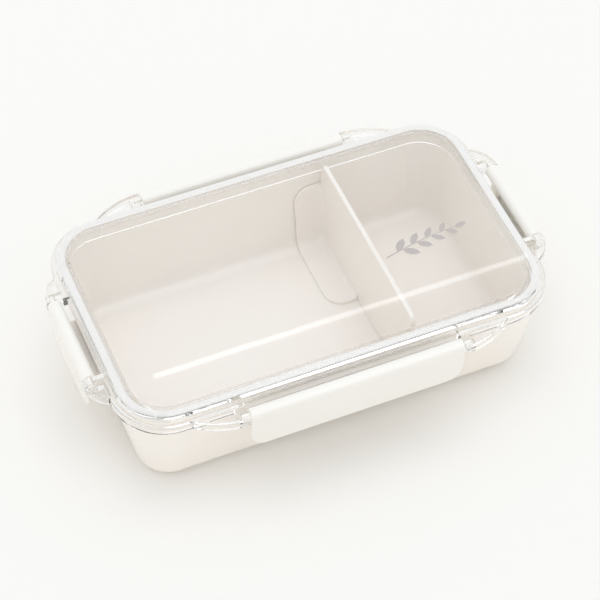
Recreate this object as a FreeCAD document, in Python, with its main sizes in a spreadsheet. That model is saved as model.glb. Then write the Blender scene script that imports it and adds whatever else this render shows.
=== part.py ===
"""A lunch box with a clear lid, a seal, four swinging latches and a movable divider.

The box stands on its foot ring at z = 0, centred on the origin, with its long side along X.
All sizes are in millimetres and degrees.
"""

import FreeCAD, Part
import math
import os
import re

import Sketcher
from FreeCAD import Placement, Rotation, Vector

# Driving sizes: the name of each cell, its number and what it measures.
SIZES = {
    "lid_length": (192, "length of the lid over its skirt"),
    "lid_width": (117, "width of the lid over its skirt"),
    "lid_corner": (23, "plan radius of the skirt's corners"),
    "box_height": (52, "table to the top of the lid"),
    "lid_top": (1.8, "thickness of the lid's top panel"),
    "lid_wall": (1.5, "thickness of the lid's skirt and shoulder"),
    "lid_shoulder": (4, "round between the top panel and the shoulder"),
    "flange_width": (2, "step from the shoulder out to the skirt"),
    "flange_drop": (4.4, "top of the lid to that step"),
    "flange_thick": (1.6, "thickness of the step"),
    "flange_round": (0.9, "round of the outer edges of that step and of the ears"),
    "skirt_depth": (9.2, "top of the lid to the lower edge of the skirt"),
    "groove_width": (2.7, "width of the groove that holds the seal"),
    "groove_roof": (2.6, "top of the lid to the roof of the groove"),
    "plug_wall": (1.6, "thickness of the rib that plugs the mouth"),
    "plug_depth": (9, "top of the lid to the lower edge of the plug"),
    "plug_round": (0.5, "round of the plug's lower edges"),
    "seal_height": (2.4, "height of the seal"),
    "seal_round": (0.9, "round of the seal's lower edges"),
    "seal_side_gap": (0.05, "seal to the side of its groove"),
    "seal_gap": (0.1, "seal to the rim that it presses on"),
    "rim_wall": (1.8, "thickness of the container's rim"),
    "rim_gap": (0.3, "rim to the inside of the shoulder"),
    "rim_round": (0.6, "round of the rim's top edges"),
    "ledge_gap": (0.5, "ledge under the rim to the skirt above it"),
    "ledge_round": (0.5, "round of the ledge's outer edge"),
    "wall": (2, "thickness of the container's wall at the floor"),
    "floor_thick": (2.2, "thickness of the container's floor"),
    "wall_draft": (11.5, "slope of the container's outer wall"),
    "base_round": (7.5, "round under the container's wall"),
    "floor_round": (6, "round between the floor and the inner wall"),
    "foot_ring": (4, "width of the ring that the box stands on"),
    "foot_recess": (0.8, "depth of the hollow inside the foot ring"),
    "foot_corner": (9, "plan radius of that hollow's corners"),
    "rib_drop": (4.1, "ledge to the top of the rib that a latch holds"),
    "rib_height": (3, "height of that rib"),
    "rib_reach": (0.2, "rib's outer face beyond the skirt's face"),
    "rib_root": (4.4, "rib's inner face inside the skirt's face"),
    "rib_margin": (5, "end of the rib to the end of its latch"),
    "long_latch": (94, "length of the front and back latches"),
    "short_latch": (43, "length of the left and right latches"),
    "pivot_reach": (4.6, "latch pivot beyond the skirt's face"),
    "pivot_drop": (6.6, "top of the lid to the latch pivots"),
    "knuckle": (3, "radius of a latch's round top edge"),
    "knuckle_round": (0.4, "round of the ends of that edge"),
    "trunnion": (1.4, "radius of the trunnions on a latch"),
    "trunnion_length": (3, "trunnion inside its ear"),
    "trunnion_gap": (0.05, "trunnion to its bore, on the radius"),
    "bore_gap": (0.3, "end of a trunnion to the end of its bore"),
    "latch_gap": (0.35, "end of a latch to the ear beside it"),
    "latch_drop": (19.4, "pivot to the latch's lower edge"),
    "latch_thick": (2, "thickness of a latch's plate"),
    "latch_lean": (4, "lean of a latch's plate towards the wall"),
    "latch_corner": (7, "radius of a latch's lower corners"),
    "latch_edge": (0.8, "round of a latch's lower edge"),
    "lip_gap": (0.55, "lip below the rib that it holds"),
    "lip_clear": (0.15, "lip outside the rib with the latch let go"),
    "lip_nose": (1.1, "height of the lip at its tip"),
    "lip_root": (3.4, "height of the lip at the plate"),
    "gusset": (1.4, "thickness of the gussets behind a latch"),
    "gusset_pitch": (26, "spacing of the gussets"),
    "gusset_reach": (1.8, "gusset out of the plate, at the lip"),
    "gusset_drop": (3, "pivot to the top of the gussets"),
    "ear_wall": (1.3, "thickness of the walls of a hollow ear"),
    "ear_root": (3, "root of an ear inside the skirt's face"),
    "long_ear": (22.5, "length of the ears on the long sides"),
    "short_ear": (13, "length of the ears on the short sides"),
    "divider_place": (33, "middle of the divider from the middle of the box"),
    "divider_thick": (1.8, "thickness of the divider"),
    "divider_drop": (3.6, "top of the lid to the top of the divider"),
    "divider_gap": (0.35, "divider to the walls and the plug"),
    "divider_lift": (0.1, "divider to the floor"),
    "divider_front": (5, "divider's front end, short of the front wall"),
    "divider_corner": (4, "radius of the divider's top corners"),
    "wing_reach": (14, "wing on the floor and back wall, out of the divider"),
    "wing_thick": (1.2, "thickness of the wing"),
    "wing_front": (8, "front end of the wing behind the middle of the box"),
    "wing_drop": (7.5, "lower edge of the plug to the top of the wing"),
    "wing_corner": (8, "radius of the wing's free corners"),
    "wing_blend": (3.5, "hollow round between the divider and the wing"),
}

# Heights and insets that follow from the driving sizes. An inset is measured from the skirt's face.
SKIRT = "(box_height - skirt_depth)"
FLANGE = "(box_height - flange_drop)"
PANEL = "(box_height - lid_top)"
LEDGE = f"({SKIRT} - ledge_gap)"
PLUG = "(box_height - plug_depth)"
GROOVE = "(box_height - groove_roof)"
SEAL = f"({GROOVE} - seal_height)"
RIM = f"({SEAL} - seal_gap)"
PIVOT = "(box_height - pivot_drop)"
RIB_TOP = f"({LEDGE} - rib_drop)"
RIB_LOW = f"({RIB_TOP} - rib_height)"
GROOVE_OUT = "(flange_width + lid_wall)"
PLUG_OUT = f"({GROOVE_OUT} + groove_width)"
PLUG_IN = f"({PLUG_OUT} + plug_wall)"
RIM_OUT = f"({GROOVE_OUT} + rim_gap)"
RIM_IN = f"({RIM_OUT} + rim_wall)"
BASE_INSET = f"(lid_wall + {LEDGE} * tan(wall_draft))"
FLOOR_INSET = f"(lid_wall + ({LEDGE} - floor_thick) * tan(wall_draft) + wall / cos(wall_draft))"
INNER_SLOPE = f"(({FLOOR_INSET} - {RIM_IN}) / ({RIM} - floor_thick))"
EAR_REACH = "(pivot_reach + knuckle)"
BORE = "(trunnion + trunnion_gap)"
BORE_DEPTH = "(latch_gap + trunnion_length + bore_gap)"
LIP_DROP = f"({PIVOT} - {RIB_LOW} + lip_gap)"

TOUCH = 1e-4

doc = FreeCAD.newDocument("lunch_box")
sheet = doc.addObject("Spreadsheet::Sheet", "sizes")
for row, (name, (number, meaning)) in enumerate(SIZES.items(), start=1):
    sheet.set(f"A{row}", meaning)
    sheet.set(f"B{row}", str(number))
    sheet.setAlias(f"B{row}", name)
doc.recompute()


def bound(text):
    """Return an expression in which every size's name refers to its cell."""
    return re.sub(r"[a-z_]+", lambda word: f"sizes.{word[0]}" if word[0] in SIZES else word[0], text)


def measure(text):
    """Return the number that an expression of sizes has now."""
    return float(sheet.evalExpression(text))


class Outline:
    """A sketch of one piece, drawn from expressions of the sizes."""

    def __init__(self, sketch):
        """Draw in an empty, attached sketch."""
        self.sketch = sketch

    def fix(self, kind, place, text):
        """Bind one coordinate or radius of the sketch to an expression."""
        index = self.sketch.addConstraint(Sketcher.Constraint(kind, *place, measure(text)))
        self.sketch.setExpression(f"Constraints[{index}]", bound(text))

    def fix_point(self, curve, end, point):
        """Bind one end of a curve, or its centre, to a point."""
        self.fix("DistanceX", (-1, 1, curve, end), point[0])
        self.fix("DistanceY", (-1, 1, curve, end), point[1])

    def tie(self, kind, *place):
        """Add a constraint that has no size of its own."""
        self.sketch.addConstraint(Sketcher.Constraint(kind, *place))

    def line(self, start, end):
        """Add a straight line between two points, not yet bound."""
        return self.sketch.addGeometry(Part.LineSegment(spot(start), spot(end)), False)

    def arc(self, centre, radius, start, end):
        """Add an arc about a centre that runs anticlockwise between two angles, not yet bound."""
        circle = Part.Circle(centre, Vector(0, 0, 1), radius)
        return self.sketch.addGeometry(Part.ArcOfCircle(circle, start, end), False)

    def polygon(self, *points):
        """Draw a closed outline with straight sides."""
        lines = [self.line(a, b) for a, b in zip(points, points[1:] + points[:1])]
        for this, following in zip(lines, lines[1:] + lines[:1]):
            self.tie("Coincident", this, 2, following, 1)
        for line, point in zip(lines, points):
            self.fix_point(line, 1, point)
        return self

    def circle(self, centre, radius):
        """Draw a circle."""
        geometry = Part.Circle(spot(centre), Vector(0, 0, 1), measure(radius))
        circle = self.sketch.addGeometry(geometry, False)
        self.fix_point(circle, 3, centre)
        self.fix("Radius", (circle,), radius)
        return self

    def round_rectangle(self, inset, corner=None):
        """Draw the lid's rounded outline, moved inwards all round, with its own corners if given."""
        radius = corner or f"(lid_corner - {inset})"
        middle = tuple(f"({side} / 2 - {inset} - {radius})" for side in ("lid_length", "lid_width"))
        x, y, r = measure(middle[0]), measure(middle[1]), measure(radius)
        arcs = []
        for turn, (i, j) in enumerate([(1, 1), (-1, 1), (-1, -1), (1, -1)]):
            start = turn * math.pi / 2
            arcs.append(self.arc(Vector(i * x, j * y, 0), r, start, start + math.pi / 2))
        for turn, (this, following) in enumerate(zip(arcs, arcs[1:] + arcs[:1])):
            ends = self.sketch.getPoint(this, 2), self.sketch.getPoint(following, 1)
            side = self.sketch.addGeometry(Part.LineSegment(*ends), False)
            self.tie("Tangent", this, 2, side, 1)
            self.tie("Tangent", side, 2, following, 1)
            self.tie("Vertical" if turn % 2 else "Horizontal", side)
        for arc in arcs[1:]:
            self.tie("Equal", arcs[0], arc)
        self.fix("Radius", (arcs[0],), radius)
        self.fix_point(arcs[0], 3, middle)
        self.fix_point(arcs[2], 3, tuple(f"-{text}" for text in middle))
        return self

    def wedge(self, place, corner, centre, radius):
        """Draw two straight sides that meet at right angles, closed by an arc.

        The points are given along a side of the box and outwards from it, and placed by a function.
        """
        reach = f"({centre[1]} + sqrt({radius}^2 - ({corner[0]} - {centre[0]})^2))"
        run = f"({centre[0]} + sqrt({radius}^2 - ({corner[1]} - {centre[1]})^2))"
        root, tip, end = place(*corner), place(corner[0], reach), place(run, corner[1])
        across, along = self.line(root, tip), self.line(root, end)
        middle = spot(place(*centre))
        angles = [math.atan2(one.y - middle.y, one.x - middle.x) for one in (spot(tip), spot(end))]
        turn = (angles[1] - angles[0]) % (2 * math.pi)
        forward = turn < math.pi
        start = angles[0] if forward else angles[1]
        arc = self.arc(middle, measure(radius), start, start + min(turn, 2 * math.pi - turn))
        self.tie("Coincident", across, 1, along, 1)
        self.tie("Coincident", across, 2, arc, 1 if forward else 2)
        self.tie("Coincident", along, 2, arc, 2 if forward else 1)
        self.fix_point(across, 1, root)
        self.fix_point(across, 2, tip)
        self.fix_point(along, 2, end)
        self.fix("Radius", (arc,), radius)
        return self


class Piece:
    """One sub-part: a body, with short ways to sketch on it and to add features to it."""

    def __init__(self, label):
        """Start an empty body."""
        self.body = doc.addObject("PartDesign::Body", label)
        self.body.Label = label

    def outline(self, name, plane="XY_Plane", height="0"):
        """Start a sketch on one of the body's planes, moved along that plane's normal."""
        sketch = self.body.newObject("Sketcher::SketchObject", name)
        support = next(one for one in self.body.Origin.OriginFeatures if one.Role == plane)
        sketch.AttachmentSupport = [(support, "")]
        sketch.MapMode = "FlatFace"
        sketch.setExpression("AttachmentOffset.Base.z", bound(height))
        return Outline(sketch)

    def extrude(self, kind, outline, length, both_ways=False, backwards=False, flare="0"):
        """Add a pad or a pocket of an outline, wider at its far end by a flare in degrees."""
        feature = self.body.newObject(f"PartDesign::{kind}", f"{outline.sketch.Name}_{kind.lower()}")
        feature.Profile = outline.sketch
        feature.setExpression("Length", bound(length))
        feature.SideType = "Symmetric" if both_ways else "One side"
        feature.Reversed = backwards
        feature.setExpression("TaperAngle", bound(flare))
        doc.recompute()

    def pad(self, outline, length, both_ways=False, backwards=False, flare="0"):
        """Add material along the outline's normal, or half of it each way."""
        self.extrude("Pad", outline, length, both_ways, backwards, flare)

    def pocket(self, outline, depth, both_ways=False, flare="0"):
        """Cut material away along the outline's normal, or half of it each way."""
        self.extrude("Pocket", outline, depth, both_ways, not both_ways, flare)

    def fillet(self, name, radius, chosen):
        """Round the edges of the body that a test picks out."""
        base = self.body.Tip
        edges = [f"Edge{i}" for i, edge in enumerate(base.Shape.Edges, start=1) if chosen(edge)]
        feature = self.body.newObject("PartDesign::Fillet", name)
        feature.Base = (base, edges)
        feature.setExpression("Radius", bound(radius))
        doc.recompute()

    def place(self, x, y, z, turn=0):
        """Put the finished body where it belongs, turned about the vertical."""
        self.body.Placement = Placement(Vector(), Rotation(Vector(0, 0, 1), turn))
        for axis, text in zip("xyz", (x, y, z)):
            self.body.setExpression(f"Placement.Base.{axis}", bound(text))


def spot(point):
    """Return the place that a pair of expressions has now."""
    return Vector(measure(point[0]), measure(point[1]), 0)


def lies_at(axis, text):
    """Return a test for edges whose ends all have one coordinate, as an expression of sizes."""
    level = measure(text)
    return lambda edge: all(abs(getattr(end.Point, axis) - level) < TOUCH for end in edge.Vertexes)


def middle_in(axis, low, high):
    """Return a test for edges whose middle lies between two coordinates, as expressions of sizes."""
    first, last = measure(low), measure(high)
    return lambda edge: first < getattr(edge.CenterOfMass, axis) < last


def both(*tests):
    """Return a test for edges that pass all the given ones."""
    return lambda edge: all(test(edge) for test in tests)


def either(*tests):
    """Return a test for edges that pass any of the given ones."""
    return lambda edge: any(test(edge) for test in tests)


def beyond_shoulder(edge):
    """Tell whether all ends of an edge of the lid lie outside its shoulder in plan."""
    x, y = measure("(lid_length - flange_width) / 2"), measure("(lid_width - flange_width) / 2")
    return all(abs(end.X) > x or abs(end.Y) > y for end in edge.Vertexes)


def inner_wall(height):
    """Return half the width of the container's inside at a height, as an expression."""
    return f"(lid_width / 2 - {FLOOR_INSET} + ({height} - floor_thick) * {INNER_SLOPE})"


def sides():
    """Yield each pair of opposite sides: its sketch plane, half span, latch length, ear length."""
    yield "YZ_Plane", "(lid_width / 2)", "long_latch", "long_ear"
    yield "XZ_Plane", "(lid_length / 2)", "short_latch", "short_ear"


def make_container():
    """The open box: drafted walls, a rim that enters the lid and a rib for each latch to hold."""
    box = Piece("container")
    base = box.outline("base")
    base.round_rectangle(BASE_INSET)
    box.pad(base, LEDGE, flare="wall_draft")
    box.fillet("base_edge", "base_round", lies_at("z", "0"))
    box.fillet("ledge_edge", "ledge_round", lies_at("z", LEDGE))
    rim = box.outline("rim", height=LEDGE)
    rim.round_rectangle(RIM_OUT)
    box.pad(rim, f"{RIM} - {LEDGE}")
    for plane, half, latch, _ in sides():
        ribs = box.outline(f"ribs_{latch}", plane)
        for sign in ("", "-"):
            inside, outside = f"{sign}({half} - rib_root)", f"{sign}({half} + rib_reach)"
            ribs.polygon((inside, RIB_LOW), (outside, RIB_LOW), (outside, RIB_TOP), (inside, RIB_TOP))
        box.pad(ribs, f"{latch} - 2 * rib_margin", both_ways=True)
    inside = box.outline("inside", height="floor_thick")
    inside.round_rectangle(FLOOR_INSET)
    box.pocket(inside, f"{RIM} - floor_thick", flare=f"atan({INNER_SLOPE})")
    box.fillet("floor_edge", "floor_round", lies_at("z", "floor_thick"))
    box.fillet("rim_edges", "rim_round", lies_at("z", RIM))
    recess = box.outline("foot_recess")
    recess.round_rectangle(f"({BASE_INSET} + base_round + foot_ring)", "foot_corner")
    box.pocket(recess, "foot_recess")
    return box


def ear_place(plane, sign_x, sign_y):
    """Return a function that puts a point along and out from a side of the box into the plan."""
    if plane == "YZ_Plane":
        return lambda along, out: (f"{sign_x}{along}", f"{sign_y}{out}")
    return lambda along, out: (f"{sign_x}{out}", f"{sign_y}{along}")


def draw_ears(outline, end_wall, root, skin):
    """Draw all the ears, or their hollows, in plan.

    Args:
        outline: the outline to draw in.
        end_wall: distance from the ear's face beside its latch.
        root: distance of the straight inner side from the skirt's face, outwards.
        skin: distance inwards from the ear's curved face.
    """
    for plane, half, latch, ear in sides():
        face = f"({latch} / 2 + latch_gap)"
        radius = f"(({EAR_REACH}^2 + {ear}^2) / (2 * {EAR_REACH}))"
        centre = (face, f"({half} + {EAR_REACH} - {radius})")
        for sign_x in ("", "-"):
            for sign_y in ("", "-"):
                place = ear_place(plane, sign_x, sign_y)
                corner = (f"({face} + {end_wall})", f"({half} + {root})")
                outline.wedge(place, corner, centre, f"({radius} - {skin})")


def make_lid():
    """The clear lid: a rounded panel, a skirt, a plug, a seal groove and hollow hinge ears."""
    lid = Piece("lid")
    skirt = lid.outline("skirt", height=SKIRT)
    skirt.round_rectangle("0")
    lid.pad(skirt, f"{FLANGE} - {SKIRT}")
    shoulder = lid.outline("shoulder", height=FLANGE)
    shoulder.round_rectangle("flange_width")
    lid.pad(shoulder, "flange_drop")
    lid.fillet("shoulder_edge", "min(lid_shoulder; 0.95 * flange_drop)", lies_at("z", "box_height"))
    notches = lid.outline("notches", height=SKIRT)
    for plane, half, latch, _ in sides():
        for sign in ("", "-"):
            place = ear_place(plane, "", sign) if plane == "YZ_Plane" else ear_place(plane, sign, "")
            end = f"({latch} / 2 + latch_gap)"
            inside, outside = f"({half} - flange_width)", f"({half} + flange_width)"
            corners = [(f"(-{end})", inside), (f"(-{end})", outside), (end, outside), (end, inside)]
            notches.polygon(*[place(*corner) for corner in corners])
    lid.pocket(notches, "skirt_depth")
    ears = lid.outline("ears", height=SKIRT)
    draw_ears(ears, "0", "(-ear_root)", "0")
    lid.pad(ears, f"{FLANGE} - {SKIRT}")
    lid.fillet("flange_edge", "flange_round", both(lies_at("z", FLANGE), beyond_shoulder))
    hollows = lid.outline("ear_hollows", height=SKIRT)
    draw_ears(hollows, f"({BORE_DEPTH} - latch_gap + ear_wall)", "0", "ear_wall")
    lid.pocket(hollows, f"{FLANGE} - {SKIRT} - ear_wall")
    inside = lid.outline("inside_skirt", height=SKIRT)
    inside.round_rectangle("lid_wall")
    lid.pocket(inside, f"{FLANGE} - flange_thick - {SKIRT}")
    groove = lid.outline("groove", height=SKIRT)
    groove.round_rectangle(GROOVE_OUT)
    lid.pocket(groove, f"{GROOVE} - {SKIRT}")
    hollow = lid.outline("hollow", height=SKIRT)
    hollow.round_rectangle(PLUG_IN)
    lid.pocket(hollow, f"{PANEL} - {SKIRT}")
    plug = lid.outline("plug", height=PLUG)
    plug.round_rectangle(PLUG_OUT).round_rectangle(PLUG_IN)
    lid.pad(plug, f"{GROOVE} - {PLUG}")
    lid.fillet("plug_edges", "plug_round", lies_at("z", PLUG))
    for plane, half, latch, _ in sides():
        bores = lid.outline(f"bores_{latch}", plane)
        for sign in ("", "-"):
            bores.circle((f"{sign}({half} + pivot_reach)", PIVOT), BORE)
        lid.pocket(bores, f"{latch} + 2 * {BORE_DEPTH}", both_ways=True)
    return lid


def make_seal():
    """The soft ring in the lid's groove, rounded where it meets the rim."""
    seal = Piece("gasket")
    ring = seal.outline("ring", height=SEAL)
    ring.round_rectangle(f"({GROOVE_OUT} + seal_side_gap)").round_rectangle(f"({PLUG_OUT} - seal_side_gap)")
    seal.pad(ring, "seal_height")
    seal.fillet("sealing_edge", "seal_round", lies_at("z", SEAL))
    return seal


def make_latch(label, length, half, gussets, turn):
    """A latch about its own pivot: round top edge, leaning plate, lip and trunnions.

    Args:
        label: name of the node.
        length: the size that gives the latch's length.
        half: distance of the skirt's face from the middle of the box, as an expression.
        gussets: how many gussets stiffen the lip.
        turn: degrees about the vertical from the front of the box.
    """
    latch = Piece(label)
    slope = "tan(latch_lean)"
    inner = "(knuckle - latch_thick)"
    buried = f"(-({inner} - {LIP_DROP} * {slope} + latch_thick / 2))"
    tip = "(pivot_reach - rib_reach - lip_clear)"
    plate = latch.outline("plate", "YZ_Plane")
    low_outside = f"(knuckle - latch_drop * {slope})"
    plate.polygon(
        ("-knuckle", "0"),
        (f"-{low_outside}", "-latch_drop"),
        (f"-({low_outside} - latch_thick)", "-latch_drop"),
        (f"-{inner}", "0"),
    )
    latch.pad(plate, length, both_ways=True)
    ends = either(lies_at("x", f"{length} / 2"), lies_at("x", f"-{length} / 2"))
    latch.fillet("corners", "latch_corner", both(lies_at("z", "-latch_drop"), ends))
    latch.fillet("lower_edge", "latch_edge", lies_at("z", "-latch_drop"))
    top = latch.outline("knuckle", "YZ_Plane").circle(("0", "0"), "knuckle")
    latch.pad(top, length, both_ways=True)
    latch.fillet("knuckle_ends", "knuckle_round", both(ends, middle_in("z", "-knuckle", "knuckle")))
    lip = latch.outline("lip", "YZ_Plane")
    lip.polygon(
        (buried, f"-{LIP_DROP}"),
        (tip, f"-{LIP_DROP}"),
        (tip, f"-({LIP_DROP} + lip_nose)"),
        (buried, f"-({LIP_DROP} + lip_root)"),
    )
    latch.pad(lip, f"{length} - 2 * rib_margin", both_ways=True)
    for number in range(gussets):
        place = f"({number} - {gussets - 1} / 2) * gusset_pitch"
        gusset = latch.outline(f"gusset_{number + 1}", "YZ_Plane", height=place)
        reach = f"(-({inner} - {LIP_DROP} * {slope} - gusset_reach))"
        gusset.polygon(
            (f"-({inner} - gusset_drop * {slope} + latch_thick / 2)", "-gusset_drop"),
            (reach, f"-({LIP_DROP} + lip_nose / 2)"),
            (buried, f"-({LIP_DROP} + lip_nose / 2)"),
        )
        latch.pad(gusset, "gusset", both_ways=True)
    trunnions = latch.outline("trunnions", "YZ_Plane").circle(("0", "0"), "trunnion")
    latch.pad(trunnions, f"{length} + 2 * (latch_gap + trunnion_length)", both_ways=True)
    out = f"({half} + pivot_reach)"
    quarter = {0: ("0", f"-{out}"), 90: (out, "0"), 180: ("0", out), 270: (f"-{out}", "0")}
    latch.place(*quarter[turn], PIVOT, turn)
    return latch


def make_divider():
    """The movable divider: a plate across the box with one wing on the floor and the back wall."""
    divider = Piece("partition")
    low = "(floor_thick + divider_lift)"
    top = "(box_height - divider_drop)"
    wing_top = f"({PLUG} - wing_drop)"
    inside_plug = f"(lid_width / 2 - {PLUG_IN} - divider_gap)"
    back_low = f"({inner_wall(low)} - divider_gap)"
    back_high = f"({inner_wall(wing_top)} - divider_gap)"
    front_low = f"(-({back_low} - divider_front))"
    front_top = f"(-({inside_plug} - divider_front))"
    plate = divider.outline("plate", "YZ_Plane")
    plate.polygon(
        (front_low, low),
        (back_low, low),
        (back_high, wing_top),
        (inside_plug, f"({PLUG} - divider_gap)"),
        (inside_plug, top),
        (front_top, top),
    )
    divider.pad(plate, "divider_thick", both_ways=True)
    floor_inside = f"({low} + wing_thick)"
    wall_inside = f"({inner_wall(floor_inside)} - divider_gap - wing_thick)"
    wing = divider.outline("wing", "YZ_Plane")
    wing.polygon(
        ("wing_front", low),
        (back_low, low),
        (back_high, wing_top),
        (f"({back_high} - wing_thick)", wing_top),
        (wall_inside, floor_inside),
        ("wing_front", floor_inside),
    )
    divider.pad(wing, "wing_reach", backwards=True)
    inner_bend = both(lies_at("z", floor_inside), lies_at("y", wall_inside))
    divider.fillet("inner_bend", "floor_round - wing_thick", inner_bend)
    beside_plate = both(
        lies_at("x", "-divider_thick / 2"),
        middle_in("z", low, f"{wing_top} - wing_thick"),
        middle_in("y", "wing_front + wing_thick", back_high),
    )
    divider.fillet("wing_blend", "wing_blend", beside_plate)
    bends = both(lies_at("z", low), either(lies_at("y", back_low), lies_at("y", front_low)))
    divider.fillet("lower_corners", "floor_round", bends)
    tops = both(lies_at("z", top), either(lies_at("y", inside_plug), lies_at("y", front_top)))
    back_side = "0.9 * (plug_depth + divider_gap - divider_drop)"
    divider.fillet("top_corners", f"min(divider_corner; {back_side})", tops)
    free_ends = either(lies_at("y", "wing_front"), lies_at("z", wing_top))
    divider.fillet("wing_corners", "wing_corner", both(lies_at("x", "-wing_reach"), free_ends))
    divider.place("divider_place", "0", "0")
    return divider


pieces = [make_container(), make_lid(), make_seal(), make_divider()]
pieces.append(make_latch("front_latch", "long_latch", "(lid_width / 2)", 3, 0))
pieces.append(make_latch("right_latch", "short_latch", "(lid_length / 2)", 2, 90))
pieces.append(make_latch("back_latch", "long_latch", "(lid_width / 2)", 3, 180))
pieces.append(make_latch("left_latch", "short_latch", "(lid_length / 2)", 2, 270))
doc.recompute()

for item in doc.Objects:
    if "Invalid" in item.State or "Error" in item.State:
        raise RuntimeError(f"{item.Label} failed: {item.State}")
os.makedirs("parts", exist_ok=True)
for piece in pieces:
    shape = piece.body.Shape
    if shape.isNull() or not shape.isValid() or len(shape.Solids) != 1:
        raise RuntimeError(f"{piece.body.Label} is not one valid solid")
    shape.exportStep(f"parts/{piece.body.Label}.step")
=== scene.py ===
"""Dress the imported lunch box: plastic finishes, a printed sprig on the lid, studio light and camera."""

from __future__ import annotations

import logging
import math
from abc import ABC, abstractmethod
from dataclasses import dataclass, field
from enum import Enum
from typing import Any

import bpy
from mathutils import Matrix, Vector

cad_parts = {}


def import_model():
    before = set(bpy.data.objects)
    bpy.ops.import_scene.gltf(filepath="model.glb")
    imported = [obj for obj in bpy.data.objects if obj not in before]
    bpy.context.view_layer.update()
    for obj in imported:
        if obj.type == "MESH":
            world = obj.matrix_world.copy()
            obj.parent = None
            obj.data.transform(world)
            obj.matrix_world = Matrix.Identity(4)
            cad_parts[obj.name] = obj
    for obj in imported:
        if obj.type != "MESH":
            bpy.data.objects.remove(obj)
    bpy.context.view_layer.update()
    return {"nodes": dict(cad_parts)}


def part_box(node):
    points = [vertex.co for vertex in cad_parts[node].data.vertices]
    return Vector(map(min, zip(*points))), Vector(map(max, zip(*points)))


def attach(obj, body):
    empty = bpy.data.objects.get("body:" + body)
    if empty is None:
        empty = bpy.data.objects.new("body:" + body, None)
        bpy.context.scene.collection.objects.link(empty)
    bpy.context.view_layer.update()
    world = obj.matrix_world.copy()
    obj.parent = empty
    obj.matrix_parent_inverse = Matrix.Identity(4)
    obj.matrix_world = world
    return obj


LOG = logging.getLogger("lunch_box")
MM = 0.001

# How a screen codes a level of light: a straight stretch up to the knee, then a power curve.
SCREEN_FULL = 255.0
SCREEN_KNEE = 0.04045
SCREEN_SLOPE = 12.92
SCREEN_LIFT = 0.055
SCREEN_POWER = 2.4

Triple = tuple[float, float, float]
Colour = tuple[float, float, float, float]
Nodes = dict[str, bpy.types.Object]


class Node(Enum):
    """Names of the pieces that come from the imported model."""

    CONTAINER = "container"
    LID = "lid"
    GASKET = "gasket"
    PARTITION = "partition"
    FRONT_LATCH = "front_latch"
    BACK_LATCH = "back_latch"
    LEFT_LATCH = "left_latch"
    RIGHT_LATCH = "right_latch"


class Body(Enum):
    """Moving bodies that new pieces ride on."""

    LID = "lid"


class Slot(Enum):
    """Material slots of the record, which no new piece here takes."""

    LID = "lid"


class Group(Enum):
    """Names of the shader groups that the finishes place."""

    MOULD_GRAIN = "mould_grain"
    HANDLING_MARKS = "handling_marks"


def screen_colour(red: int, green: int, blue: int) -> Colour:
    """Turn a colour as read on a screen into the linear colour a shader takes.

    Args:
        red: Red from 0 to 255.
        green: Green from 0 to 255.
        blue: Blue from 0 to 255.

    Returns:
        The linear red, green and blue, with an alpha of one.
    """
    linear = []
    for level in (red, green, blue):
        share = level / SCREEN_FULL
        if share <= SCREEN_KNEE:
            linear.append(share / SCREEN_SLOPE)
        else:
            linear.append(((share + SCREEN_LIFT) / (1.0 + SCREEN_LIFT)) ** SCREEN_POWER)
    return (linear[0], linear[1], linear[2], 1.0)


def deselect_all() -> None:
    """Leave edit mode and clear the selection, so an operator acts on nothing by accident."""
    if bpy.context.object is not None and bpy.context.object.mode != "OBJECT":
        bpy.ops.object.mode_set(mode="OBJECT")
    bpy.ops.object.select_all(action="DESELECT")


@dataclass(frozen=True)
class Noise:
    """How fine a noise is: waves to the metre, finer layers and how strong those are."""

    scale: float
    layers: float
    strength: float


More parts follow.
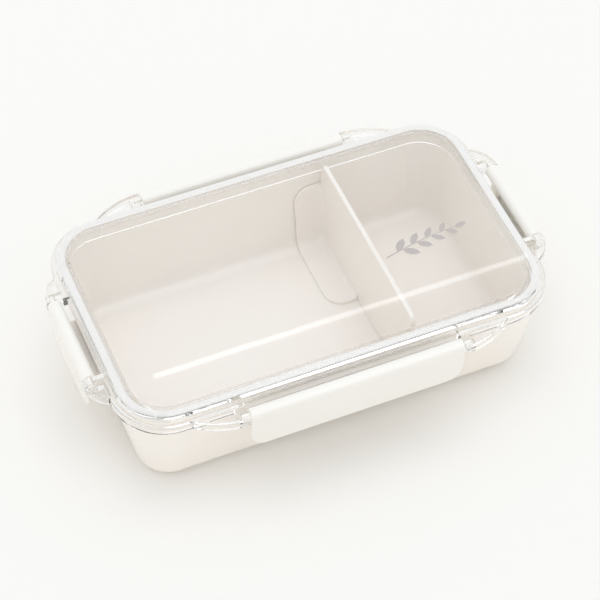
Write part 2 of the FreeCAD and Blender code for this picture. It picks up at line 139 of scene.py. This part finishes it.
class Bench:
    """Places and joins the nodes of one tree."""

    def __init__(self, tree: bpy.types.NodeTree) -> None:
        """Keep the tree and clear it."""
        self.tree = tree
        tree.nodes.clear()

    def add(self, kind: str, **settings: Any) -> bpy.types.Node:
        """Place a node.

        Args:
            kind: Blender's name of the node type.
            **settings: Properties of the node, by name.

        Returns:
            The new node.
        """
        node = self.tree.nodes.new(kind)
        for name, value in settings.items():
            setattr(node, name, value)
        return node

    def group(self, name: Group) -> bpy.types.Node:
        """Place a shared group."""
        return self.add("ShaderNodeGroup", node_tree=bpy.data.node_groups[name.value])

    def join(self, source: bpy.types.NodeSocket, target: bpy.types.NodeSocket) -> None:
        """Link an output to an input."""
        self.tree.links.new(source, target)

    def noise(self, place: bpy.types.NodeSocket, noise: Noise) -> bpy.types.NodeSocket:
        """Place a noise texture.

        Args:
            place: The coordinates it reads.
            noise: How fine it is.

        Returns:
            The output with its value.
        """
        node = self.add("ShaderNodeTexNoise")
        node.inputs["Scale"].default_value = noise.scale
        node.inputs["Detail"].default_value = noise.layers
        node.inputs["Roughness"].default_value = noise.strength
        self.join(place, node.inputs["Vector"])
        return node.outputs["Fac"]

    def span(
        self, value: bpy.types.NodeSocket, low: bpy.types.NodeSocket, high: bpy.types.NodeSocket
    ) -> bpy.types.NodeSocket:
        """Spread a value from zero to one over a range.

        Args:
            value: The value to spread.
            low: What zero becomes.
            high: What one becomes.

        Returns:
            The output with the spread value.
        """
        node = self.add("ShaderNodeMapRange")
        self.join(value, node.inputs["Value"])
        self.join(low, node.inputs["To Min"])
        self.join(high, node.inputs["To Max"])
        return node.outputs["Result"]

    def largest(self, values: list[bpy.types.NodeSocket]) -> bpy.types.NodeSocket:
        """Take the largest of several values.

        Args:
            values: The values, at least one.

        Returns:
            The output with the largest value.
        """
        most = values[0]
        for value in values[1:]:
            node = self.add("ShaderNodeMath", operation="MAXIMUM")
            self.join(most, node.inputs[0])
            self.join(value, node.inputs[1])
            most = node.outputs["Value"]
        return most

    def bump(self, height: bpy.types.NodeSocket, depth: float, shader: bpy.types.Node) -> None:
        """Raise the surface of a shader by a height.

        Args:
            height: The height, from zero to one.
            depth: What one means, in metres.
            shader: The shader.
        """
        node = self.add("ShaderNodeBump")
        node.inputs["Distance"].default_value = depth
        self.join(height, node.inputs["Height"])
        self.join(node.outputs["Normal"], shader.inputs["Normal"])


class SharedGroup:
    """A shader group that is built once and placed in each finish with its own values."""

    def __init__(self, name: Group, inputs: tuple[str, ...], outputs: tuple[str, ...]) -> None:
        """Make the group with its sockets.

        Args:
            name: The group's name.
            inputs: Names of its inputs, in order.
            outputs: Names of its outputs, in order.
        """
        tree = bpy.data.node_groups.new(name.value, "ShaderNodeTree")
        self.bench = Bench(tree)
        for side, sockets in (("INPUT", inputs), ("OUTPUT", outputs)):
            for socket in sockets:
                tree.interface.new_socket(socket, in_out=side, socket_type="NodeSocketFloat")
        self.inside = self.bench.add("NodeGroupInput").outputs
        self.outside = self.bench.add("NodeGroupOutput").inputs
        self.place = self.bench.add("ShaderNodeTexCoord").outputs["Object"]


class MouldGrain(SharedGroup):
    """The fine, even texture of a spark-eroded mould, and the soft clouds of its colour."""

    GRAIN = Noise(scale=2600.0, layers=2.0, strength=0.55)
    SPECK = Noise(scale=620.0, layers=1.0, strength=0.4)
    SPECK_SHARE = 0.35
    FLOW = Noise(scale=24.0, layers=1.0, strength=0.4)

    def __init__(self) -> None:
        """Build the grain with its specks, the flow clouds and the roughness that follows them."""
        super().__init__(
            Group.MOULD_GRAIN, ("Smoothest", "Roughest"), ("Clouds", "Roughness", "Height")
        )
        bench = self.bench
        flow = bench.noise(self.place, self.FLOW)
        rough = bench.span(flow, self.inside["Smoothest"], self.inside["Roughest"])
        height = bench.add("ShaderNodeMath", operation="MULTIPLY_ADD")
        bench.join(bench.noise(self.place, self.SPECK), height.inputs[0])
        height.inputs[1].default_value = self.SPECK_SHARE
        bench.join(bench.noise(self.place, self.GRAIN), height.inputs[2])
        bench.join(flow, self.outside["Clouds"])
        bench.join(rough, self.outside["Roughness"])
        bench.join(height.outputs["Value"], self.outside["Height"])


class HandlingMarks(SharedGroup):
    """Faint rubbed patches and hairlines that a glossy surface gets from wiping."""

    WIPE_STRETCH = (60.0, 2400.0, 900.0)
    WIPE_TURN = math.radians(17.0)
    HAIRLINE = Noise(scale=1.0, layers=1.0, strength=0.5)
    PATCH = Noise(scale=38.0, layers=2.0, strength=0.5)

    def __init__(self) -> None:
        """Build the hairlines, keep them to the rubbed patches and turn them into roughness."""
        super().__init__(Group.HANDLING_MARKS, ("Polished", "Rubbed"), ("Roughness",))
        bench = self.bench
        wipe = bench.add("ShaderNodeMapping")
        wipe.inputs["Scale"].default_value = self.WIPE_STRETCH
        wipe.inputs["Rotation"].default_value = (0.0, 0.0, self.WIPE_TURN)
        bench.join(self.place, wipe.inputs["Vector"])
        marks = bench.add("ShaderNodeMath", operation="MULTIPLY", use_clamp=True)
        bench.join(bench.noise(wipe.outputs["Vector"], self.HAIRLINE), marks.inputs[0])
        bench.join(bench.noise(self.place, self.PATCH), marks.inputs[1])
        rough = bench.span(marks.outputs["Value"], self.inside["Polished"], self.inside["Rubbed"])
        bench.join(rough, self.outside["Roughness"])


@dataclass(frozen=True)
class Blank:
    """An empty material with its bench, its main shader and its output."""

    material: bpy.types.Material
    bench: Bench
    shader: bpy.types.Node
    output: bpy.types.Node


@dataclass(frozen=True)
class Finish(ABC):
    """What every finish has: a name and a main colour."""

    name: str
    colour: Colour

    def blank(self) -> Blank:
        """Make a material that has only the main shader in the main colour.

        Returns:
            The material and its parts.
        """
        material = bpy.data.materials.new(self.name)
        material.use_nodes = True
        bench = Bench(material.node_tree)
        shader = bench.add("ShaderNodeBsdfPrincipled")
        output = bench.add("ShaderNodeOutputMaterial")
        shader.inputs["Base Color"].default_value = self.colour
        bench.join(shader.outputs["BSDF"], output.inputs["Surface"])
        return Blank(material, bench, shader, output)

    @abstractmethod
    def material(self) -> bpy.types.Material:
        """Build the finish."""


@dataclass(frozen=True)
class MouldedPlastic(Finish):
    """Coloured plastic or rubber from a textured mould, or ink that dried on it."""

    cloud_colour: Colour
    smoothest: float
    roughest: float
    grain_depth: float
    refraction: float = 1.49

    def material(self) -> bpy.types.Material:
        """Build the finish: clouds in the colour, and the grain of the mould.

        Returns:
            The material.
        """
        blank = self.blank()
        bench = blank.bench
        shader = blank.shader
        shader.inputs["IOR"].default_value = self.refraction
        grain = bench.group(Group.MOULD_GRAIN)
        grain.inputs["Smoothest"].default_value = self.smoothest
        grain.inputs["Roughest"].default_value = self.roughest
        tint = bench.add("ShaderNodeMix", data_type="RGBA")
        tint.inputs["A"].default_value = self.colour
        tint.inputs["B"].default_value = self.cloud_colour
        bench.join(grain.outputs["Clouds"], tint.inputs["Factor"])
        bench.join(tint.outputs["Result"], shader.inputs["Base Color"])
        bench.join(grain.outputs["Roughness"], shader.inputs["Roughness"])
        bench.bump(grain.outputs["Height"], self.grain_depth, shader)
        return blank.material


@dataclass(frozen=True)
class ClearPlastic(Finish):
    """Clear moulded plastic with wiping marks, that lets the lamps through."""

    polished: float
    rubbed: float
    wave: Noise
    wave_depth: float
    body_tint: Colour
    body_density: float
    refraction: float = 1.5

    def material(self) -> bpy.types.Material:
        """Build the finish: a wavy polished skin, a faintly grey body, and no shadow of its own.

        Returns:
            The material.
        """
        blank = self.blank()
        bench = blank.bench
        shader = blank.shader
        shader.inputs["IOR"].default_value = self.refraction
        shader.inputs["Transmission Weight"].default_value = 1.0
        marks = bench.group(Group.HANDLING_MARKS)
        marks.inputs["Polished"].default_value = self.polished
        marks.inputs["Rubbed"].default_value = self.rubbed
        bench.join(marks.outputs["Roughness"], shader.inputs["Roughness"])
        place = bench.add("ShaderNodeTexCoord").outputs["Object"]
        bench.bump(bench.noise(place, self.wave), self.wave_depth, shader)
        self.let_light_through(blank)
        depth = bench.add("ShaderNodeVolumeAbsorption")
        depth.inputs["Color"].default_value = self.body_tint
        depth.inputs["Density"].default_value = self.body_density
        bench.join(depth.outputs["Volume"], blank.output.inputs["Volume"])
        return blank.material

    def let_light_through(self, blank: Blank) -> None:
        """Let lamps and soft light pass straight, so that the inside of the box is lit.

        Args:
            blank: The material and its parts.
        """
        bench = blank.bench
        through = bench.add("ShaderNodeBsdfTransparent")
        through.inputs["Color"].default_value = self.colour
        rays = bench.add("ShaderNodeLightPath").outputs
        mix = bench.add("ShaderNodeMixShader")
        bench.join(bench.largest([rays["Is Shadow Ray"], rays["Is Diffuse Ray"]]), mix.inputs["Fac"])
        bench.join(blank.shader.outputs["BSDF"], mix.inputs[1])
        bench.join(through.outputs["BSDF"], mix.inputs[2])
        bench.join(mix.outputs["Shader"], blank.output.inputs["Surface"])


@dataclass(frozen=True)
class StudioPaper(Finish):
    """The pale matt paper under the box."""

    roughness: float
    gloss: float

    def material(self) -> bpy.types.Material:
        """Build the finish.

        Returns:
            The material.
        """
        blank = self.blank()
        blank.shader.inputs["Roughness"].default_value = self.roughness
        blank.shader.inputs["Specular IOR Level"].default_value = self.gloss
        return blank.material


BEIGE_PLASTIC = MouldedPlastic(
    name="beige_satin_plastic",
    colour=screen_colour(252, 247, 241),
    cloud_colour=screen_colour(251, 245, 238),
    smoothest=0.17,
    roughest=0.24,
    grain_depth=0.004 * MM,
)
DIVIDER_PLASTIC = MouldedPlastic(
    name="beige_divider_plastic",
    colour=screen_colour(252, 247, 241),
    cloud_colour=screen_colour(251, 245, 238),
    smoothest=0.19,
    roughest=0.26,
    grain_depth=0.004 * MM,
)
LATCH_PLASTIC = MouldedPlastic(
    name="white_gloss_plastic",
    colour=screen_colour(250, 248, 243),
    cloud_colour=screen_colour(248, 245, 239),
    smoothest=0.18,
    roughest=0.26,
    grain_depth=0.002 * MM,
)
SEAL_RUBBER = MouldedPlastic(
    name="white_seal_rubber",
    colour=screen_colour(252, 250, 247),
    cloud_colour=screen_colour(249, 247, 244),
    smoothest=0.5,
    roughest=0.7,
    grain_depth=0.01 * MM,
)
PRINT_INK = MouldedPlastic(
    name="grey_print_ink",
    colour=screen_colour(196, 188, 185),
    cloud_colour=screen_colour(188, 179, 176),
    smoothest=0.35,
    roughest=0.55,
    grain_depth=0.008 * MM,
)
CLEAR_PLASTIC = ClearPlastic(
    name="clear_lid_plastic",
    colour=(1.0, 1.0, 1.0, 1.0),
    polished=0.01,
    rubbed=0.025,
    wave=Noise(scale=46.0, layers=1.0, strength=0.3),
    wave_depth=0.002 * MM,
    body_tint=(0.65, 0.652, 0.645, 1.0),
    body_density=32.0,
)
WHITE_PAPER = StudioPaper(
    name="white_paper",
    colour=screen_colour(250, 248, 244),
    roughness=0.9,
    gloss=0.1,
)


@dataclass
class PackedPieces:
    """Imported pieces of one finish, which keep their shape."""

    names: tuple[Node, ...]
    finish: Finish

    def dress(self, nodes: Nodes) -> list[bpy.types.Object]:
        """Put the finish on every material slot of the pieces.

        Args:
            nodes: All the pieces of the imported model, by name.

        Returns:
            The dressed pieces.
        """
        material = self.finish.material()
        pieces = [nodes[name.value] for name in self.names]
        for piece in pieces:
            for slot in piece.material_slots:
                slot.material = material
        return pieces


@dataclass
class OpenBox(PackedPieces):
    """The open box with its drafted walls, rim and foot."""

    names: tuple[Node, ...] = (Node.CONTAINER,)
    finish: Finish = BEIGE_PLASTIC


@dataclass
class Divider(PackedPieces):
    """The divider with its wing, which slides along the box."""

    names: tuple[Node, ...] = (Node.PARTITION,)
    finish: Finish = DIVIDER_PLASTIC


@dataclass
class LatchSet(PackedPieces):
    """The four white latches."""

    names: tuple[Node, ...] = (Node.FRONT_LATCH, Node.BACK_LATCH, Node.LEFT_LATCH, Node.RIGHT_LATCH)
    finish: Finish = LATCH_PLASTIC


@dataclass
class Seal(PackedPieces):
    """The soft ring in the groove of the lid."""

    names: tuple[Node, ...] = (Node.GASKET,)
    finish: Finish = SEAL_RUBBER


@dataclass
class LeafSprig:
    """A plain sprig of leaves printed on the lid."""

    middle: tuple[float, float] = (52.0 * MM, -10.5 * MM)
    print_depth: float = 0.05 * MM
    stem_length: float = 34.0 * MM
    stem_rise: float = 5.0 * MM
    stem_radius: float = 0.32 * MM
    stem_taper: float = 0.55
    stem_points: int = 5
    stem_roundness: int = 3
    leaf_length: float = 8.4 * MM
    leaf_width: float = 3.3 * MM
    leaf_points: int = 28
    leaf_blank_share: float = 0.78
    pairs: int = 4
    first_pair: float = 0.16
    pair_step: float = 0.21
    pair_shrink: float = 0.1
    upper_turn: float = 48.0
    lower_turn: float = -34.0
    lower_lag: float = 0.07
    tip_place: float = 0.985
    tip_turn: float = 6.0
    tip_share: float = 0.72
    on_axis: float = 0.001 * MM
    ink: Finish = PRINT_INK

    def leaf(self, along: float, turn: float, share: float) -> bpy.types.Object:
        """Model one leaf: a round blank, drawn out to two tips and given the depth of the print.

        Args:
            along: Where it meets the stem, as a share of the stem's length.
            turn: Its direction in degrees from the length of the lid.
            share: Its size as a share of the largest leaf.

        Returns:
            The leaf.
        """
        half = 0.5 * self.leaf_length * share
        deselect_all()
        bpy.ops.mesh.primitive_circle_add(vertices=self.leaf_points, radius=half, fill_type="NGON")
        leaf = bpy.context.object
        bpy.ops.object.mode_set(mode="EDIT")
        bpy.ops.transform.resize(value=(self.leaf_blank_share, self.leaf_width / self.leaf_length, 1.0))
        bpy.ops.mesh.select_all(action="DESELECT")
        bpy.ops.object.mode_set(mode="OBJECT")
        for point in leaf.data.vertices:
            point.select = abs(point.co.y) < self.on_axis
        bpy.ops.object.mode_set(mode="EDIT")
        bpy.ops.transform.resize(value=(1.0 / self.leaf_blank_share, 1.0, 1.0))
        bpy.ops.mesh.select_all(action="SELECT")
        bpy.ops.mesh.extrude_region_move(TRANSFORM_OT_translate={"value": (0.0, 0.0, self.print_depth)})
        bpy.ops.mesh.select_all(action="SELECT")
        bpy.ops.mesh.normals_make_consistent(inside=False)
        bpy.ops.object.mode_set(mode="OBJECT")
        angle = math.radians(turn)
        leaf.rotation_euler = (0.0, 0.0, angle)
        leaf.location = self.stem_point(along) + half * Vector((math.cos(angle), math.sin(angle), 0.0))
        return leaf

    def lid_top(self) -> float:
        """Read from the frame how high the top of the lid is."""
        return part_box(Node.LID.value)[1].z

    def stem_point(self, along: float) -> Vector:
        """Find a point of the stem.

        Args:
            along: Share of the stem's length, from its foot to its tip.

        Returns:
            The point.
        """
        x = self.middle[0] + self.stem_length * (along - 0.5)
        y = self.middle[1] + self.stem_rise * (math.sin(0.5 * math.pi * along) - 0.5)
        return Vector((x, y, self.lid_top()))

    def stem(self) -> bpy.types.Object:
        """Model the stem: a round wire along a curve, pressed flat to the depth of the print.

        Returns:
            The stem as a mesh.
        """
        deselect_all()
        bpy.ops.curve.primitive_bezier_curve_add(location=(0.0, 0.0, 0.0))
        stem = bpy.context.object
        points = stem.data.splines[0].bezier_points
        points.add(self.stem_points - len(points))
        for index, point in enumerate(points):
            along = index / (self.stem_points - 1)
            x, y, _ = self.stem_point(along)
            point.co = (x, y, 0.0)
            point.handle_left_type = "AUTO"
            point.handle_right_type = "AUTO"
            point.radius = 1.0 - self.stem_taper * along
        stem.data.bevel_depth = self.stem_radius
        stem.data.bevel_resolution = self.stem_roundness
        stem.data.use_fill_caps = True
        bpy.ops.object.convert(target="MESH")
        stem.scale = (1.0, 1.0, 0.5 * self.print_depth / self.stem_radius)
        stem.location = (0.0, 0.0, self.lid_top() + 0.5 * self.print_depth)
        return stem

    def leaves(self) -> list[bpy.types.Object]:
        """Model the pairs of leaves, which get smaller towards the tip, and the leaf at the tip.

        Returns:
            The leaves.
        """
        leaves = []
        for pair in range(self.pairs):
            along = self.first_pair + self.pair_step * pair
            share = 1.0 - self.pair_shrink * pair
            leaves.append(self.leaf(along, self.upper_turn, share))
            leaves.append(self.leaf(along + self.lower_lag, self.lower_turn, share))
        leaves.append(self.leaf(self.tip_place, self.tip_turn, self.tip_share))
        return leaves

    def build(self) -> bpy.types.Object:
        """Model the sprig, print it on the lid and let it ride there.

        Returns:
            The sprig.
        """
        leaves = self.leaves()
        sprig = self.stem()
        deselect_all()
        for piece in (*leaves, sprig):
            piece.select_set(True)
        bpy.context.view_layer.objects.active = sprig
        bpy.ops.object.join()
        bpy.ops.object.transform_apply(location=True, rotation=True, scale=True)
        sprig.name = "lid_leaf_sprig"
        sprig.data.name = "lid_leaf_sprig"
        sprig.data.materials.clear()
        sprig.data.materials.append(self.ink.material())
        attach(sprig, Body.LID.value)
        return sprig


@dataclass
class ClearLid(PackedPieces):
    """The clear lid with the sprig that is printed on it."""

    names: tuple[Node, ...] = (Node.LID,)
    finish: Finish = CLEAR_PLASTIC
    sprig: LeafSprig = field(default_factory=LeafSprig)

    def dress(self, nodes: Nodes) -> list[bpy.types.Object]:
        """Put the clear finish on the lid and print the sprig.

        Args:
            nodes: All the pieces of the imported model, by name.

        Returns:
            The lid and the sprig.
        """
        return [*super().dress(nodes), self.sprig.build()]


@dataclass
class PaperFloor:
    """A wide round sheet of paper with a narrow border."""

    radius: float = 14.0
    points: int = 96
    border: float = 0.5
    paper: Finish = WHITE_PAPER

    def build(self) -> bpy.types.Object:
        """Lay the paper.

        Returns:
            The floor.
        """
        deselect_all()
        bpy.ops.mesh.primitive_circle_add(vertices=self.points, radius=self.radius, fill_type="NGON")
        floor = bpy.context.object
        floor.name = "studio_floor"
        bpy.ops.object.mode_set(mode="EDIT")
        bpy.ops.mesh.select_all(action="SELECT")
        bpy.ops.mesh.inset(thickness=self.border)
        bpy.ops.object.mode_set(mode="OBJECT")
        floor.data.materials.append(self.paper.material())
        return floor


@dataclass
class Surround:
    """Soft light from all round, warm near the horizon, and plain white to look at."""

    horizon_colour: Colour = (1.0, 0.94, 0.83, 1.0)
    zenith_colour: Colour = (0.93, 0.962, 1.0, 1.0)
    zenith_from: float = 0.65
    strength: float = 0.935
    backdrop_colour: Colour = screen_colour(250, 250, 248)

    def build(self) -> None:
        """Light the scene evenly, and show plain white behind it and in clear or glossy surfaces."""
        world = bpy.data.worlds.new("studio_surround")
        bpy.context.scene.world = world
        world.use_nodes = True
        bench = Bench(world.node_tree)
        height = bench.add("ShaderNodeSeparateXYZ")
        bench.join(bench.add("ShaderNodeTexCoord").outputs["Generated"], height.inputs["Vector"])
        rise = bench.add("ShaderNodeMapRange")
        rise.inputs["From Max"].default_value = self.zenith_from
        bench.join(height.outputs["Z"], rise.inputs["Value"])
        sky = bench.add("ShaderNodeMix", data_type="RGBA")
        sky.inputs["A"].default_value = self.horizon_colour
        sky.inputs["B"].default_value = self.zenith_colour
        bench.join(rise.outputs["Result"], sky.inputs["Factor"])
        soft = bench.add("ShaderNodeBackground")
        soft.inputs["Strength"].default_value = self.strength
        bench.join(sky.outputs["Result"], soft.inputs["Color"])
        white = bench.add("ShaderNodeBackground")
        white.inputs["Color"].default_value = self.backdrop_colour
        rays = bench.add("ShaderNodeLightPath").outputs
        seen = bench.largest([rays["Is Camera Ray"], rays["Is Glossy Ray"], rays["Is Transmission Ray"]])
        mix = bench.add("ShaderNodeMixShader")
        bench.join(seen, mix.inputs["Fac"])
        bench.join(soft.outputs["Background"], mix.inputs[1])
        bench.join(white.outputs["Background"], mix.inputs[2])
        output = bench.add("ShaderNodeOutputWorld")
        bench.join(mix.outputs["Shader"], output.inputs["Surface"])


@dataclass(frozen=True)
class FlatLamp:
    """One flat lamp, which faces its aim or, with none, straight down."""

    name: str
    place: Triple
    length: float
    width: float
    watts: float
    aim: Triple | None = None
    only_gloss: bool = False
    colour: Triple = (0.95, 0.975, 1.0)

    def hang(self) -> bpy.types.Object:
        """Hang the lamp.

        Returns:
            The lamp.
        """
        deselect_all()
        bpy.ops.object.light_add(type="AREA", location=self.place)
        lamp = bpy.context.object
        lamp.name = self.name
        lamp.data.shape = "RECTANGLE"
        lamp.data.size = self.length
        lamp.data.size_y = self.width
        lamp.data.energy = self.watts
        lamp.data.color = self.colour
        lamp.visible_diffuse = not self.only_gloss
        if self.aim is not None:
            towards = Vector(self.aim) - Vector(self.place)
            lamp.rotation_euler = towards.to_track_quat("-Z", "Y").to_euler()
        return lamp


# The point on the lid that the camera and the aimed lamps face.
LOOK_AT: Triple = (-0.007355, -0.02024, 0.052)
# The two thin lamps hang in a row, and the lid mirrors them as one bright line that fades to the right.
STREAK_WIDTH = 0.0052
KEY_LAMP = FlatLamp(
    name="soft_key_lamp",
    place=(0.1, 0.3, 2.4),
    length=2.0,
    width=1.5,
    watts=9.0,
    aim=LOOK_AT,
)
STREAK_LAMP = FlatLamp(
    name="streak_lamp",
    place=(0.35, 0.6815, 1.0),
    length=0.42,
    width=STREAK_WIDTH,
    watts=0.0165,
)
STREAK_END_LAMP = FlatLamp(
    name="streak_end_lamp",
    place=(0.67, 0.6815, 1.0),
    length=0.22,
    width=STREAK_WIDTH,
    watts=0.0035,
)
EDGE_GLOSS_LAMP = FlatLamp(
    name="edge_gloss_lamp",
    place=(0.37, -0.9, 1.2),
    length=1.8,
    width=0.8,
    watts=7.5,
    aim=LOOK_AT,
    only_gloss=True,
)


@dataclass
class PhotoCamera:
    """The camera, at the photograph's viewing angle."""

    target: Triple = LOOK_AT
    azimuth: float = -22.648
    height: float = 49.995
    distance: float = 0.9652
    lens: float = 140.28
    sensor: float = 36.0
    nearest: float = 0.02
    farthest: float = 100.0

    def build(self) -> bpy.types.Object:
        """Set up the camera.

        Returns:
            The camera.
        """
        turn = math.radians(self.azimuth)
        tilt = math.radians(self.height)
        back = Vector((math.sin(turn) * math.cos(tilt), -math.cos(turn) * math.cos(tilt), math.sin(tilt)))
        deselect_all()
        bpy.ops.object.camera_add(location=Vector(self.target) + self.distance * back)
        camera = bpy.context.object
        camera.name = "photo_camera"
        camera.rotation_euler = (-back).to_track_quat("-Z", "Y").to_euler()
        camera.data.lens = self.lens
        camera.data.sensor_width = self.sensor
        camera.data.clip_start = self.nearest
        camera.data.clip_end = self.farthest
        bpy.context.scene.camera = camera
        return camera


@dataclass
class Studio:
    """The white floor, the soft light and the camera."""

    camera: PhotoCamera = field(default_factory=PhotoCamera)
    floor: PaperFloor = field(default_factory=PaperFloor)
    surround: Surround = field(default_factory=Surround)
    lamps: tuple[FlatLamp, ...] = (KEY_LAMP, STREAK_LAMP, STREAK_END_LAMP, EDGE_GLOSS_LAMP)
    most_bounces: int = 64
    clear_bounces: int = 48

    def clear_paths(self) -> None:
        """Follow light far enough through the clear lid that its inner reflections don't end in black."""
        paths = bpy.context.scene.cycles
        paths.max_bounces = self.most_bounces
        paths.glossy_bounces = self.clear_bounces
        paths.transmission_bounces = self.clear_bounces
        paths.transparent_max_bounces = self.clear_bounces

    def build(self) -> list[bpy.types.Object]:
        """Set up the whole studio.

        Returns:
            The camera, the floor and the lamps.
        """
        bpy.context.scene.view_settings.view_transform = "Standard"
        self.clear_paths()
        self.surround.build()
        return [self.camera.build(), self.floor.build(), *(lamp.hang() for lamp in self.lamps)]


def main() -> None:
    """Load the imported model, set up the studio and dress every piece."""
    logging.basicConfig(level=logging.INFO, format="%(message)s")
    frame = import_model()
    MouldGrain()
    HandlingMarks()
    for piece in Studio().build():
        LOG.info("set up %s", piece.name)
    for assembly in (OpenBox(), Divider(), ClearLid(), Seal(), LatchSet()):
        for piece in assembly.dress(frame["nodes"]):
            LOG.info("dressed %s as part of %s", piece.name, type(assembly).__name__)


if __name__ == "__main__":
    main()
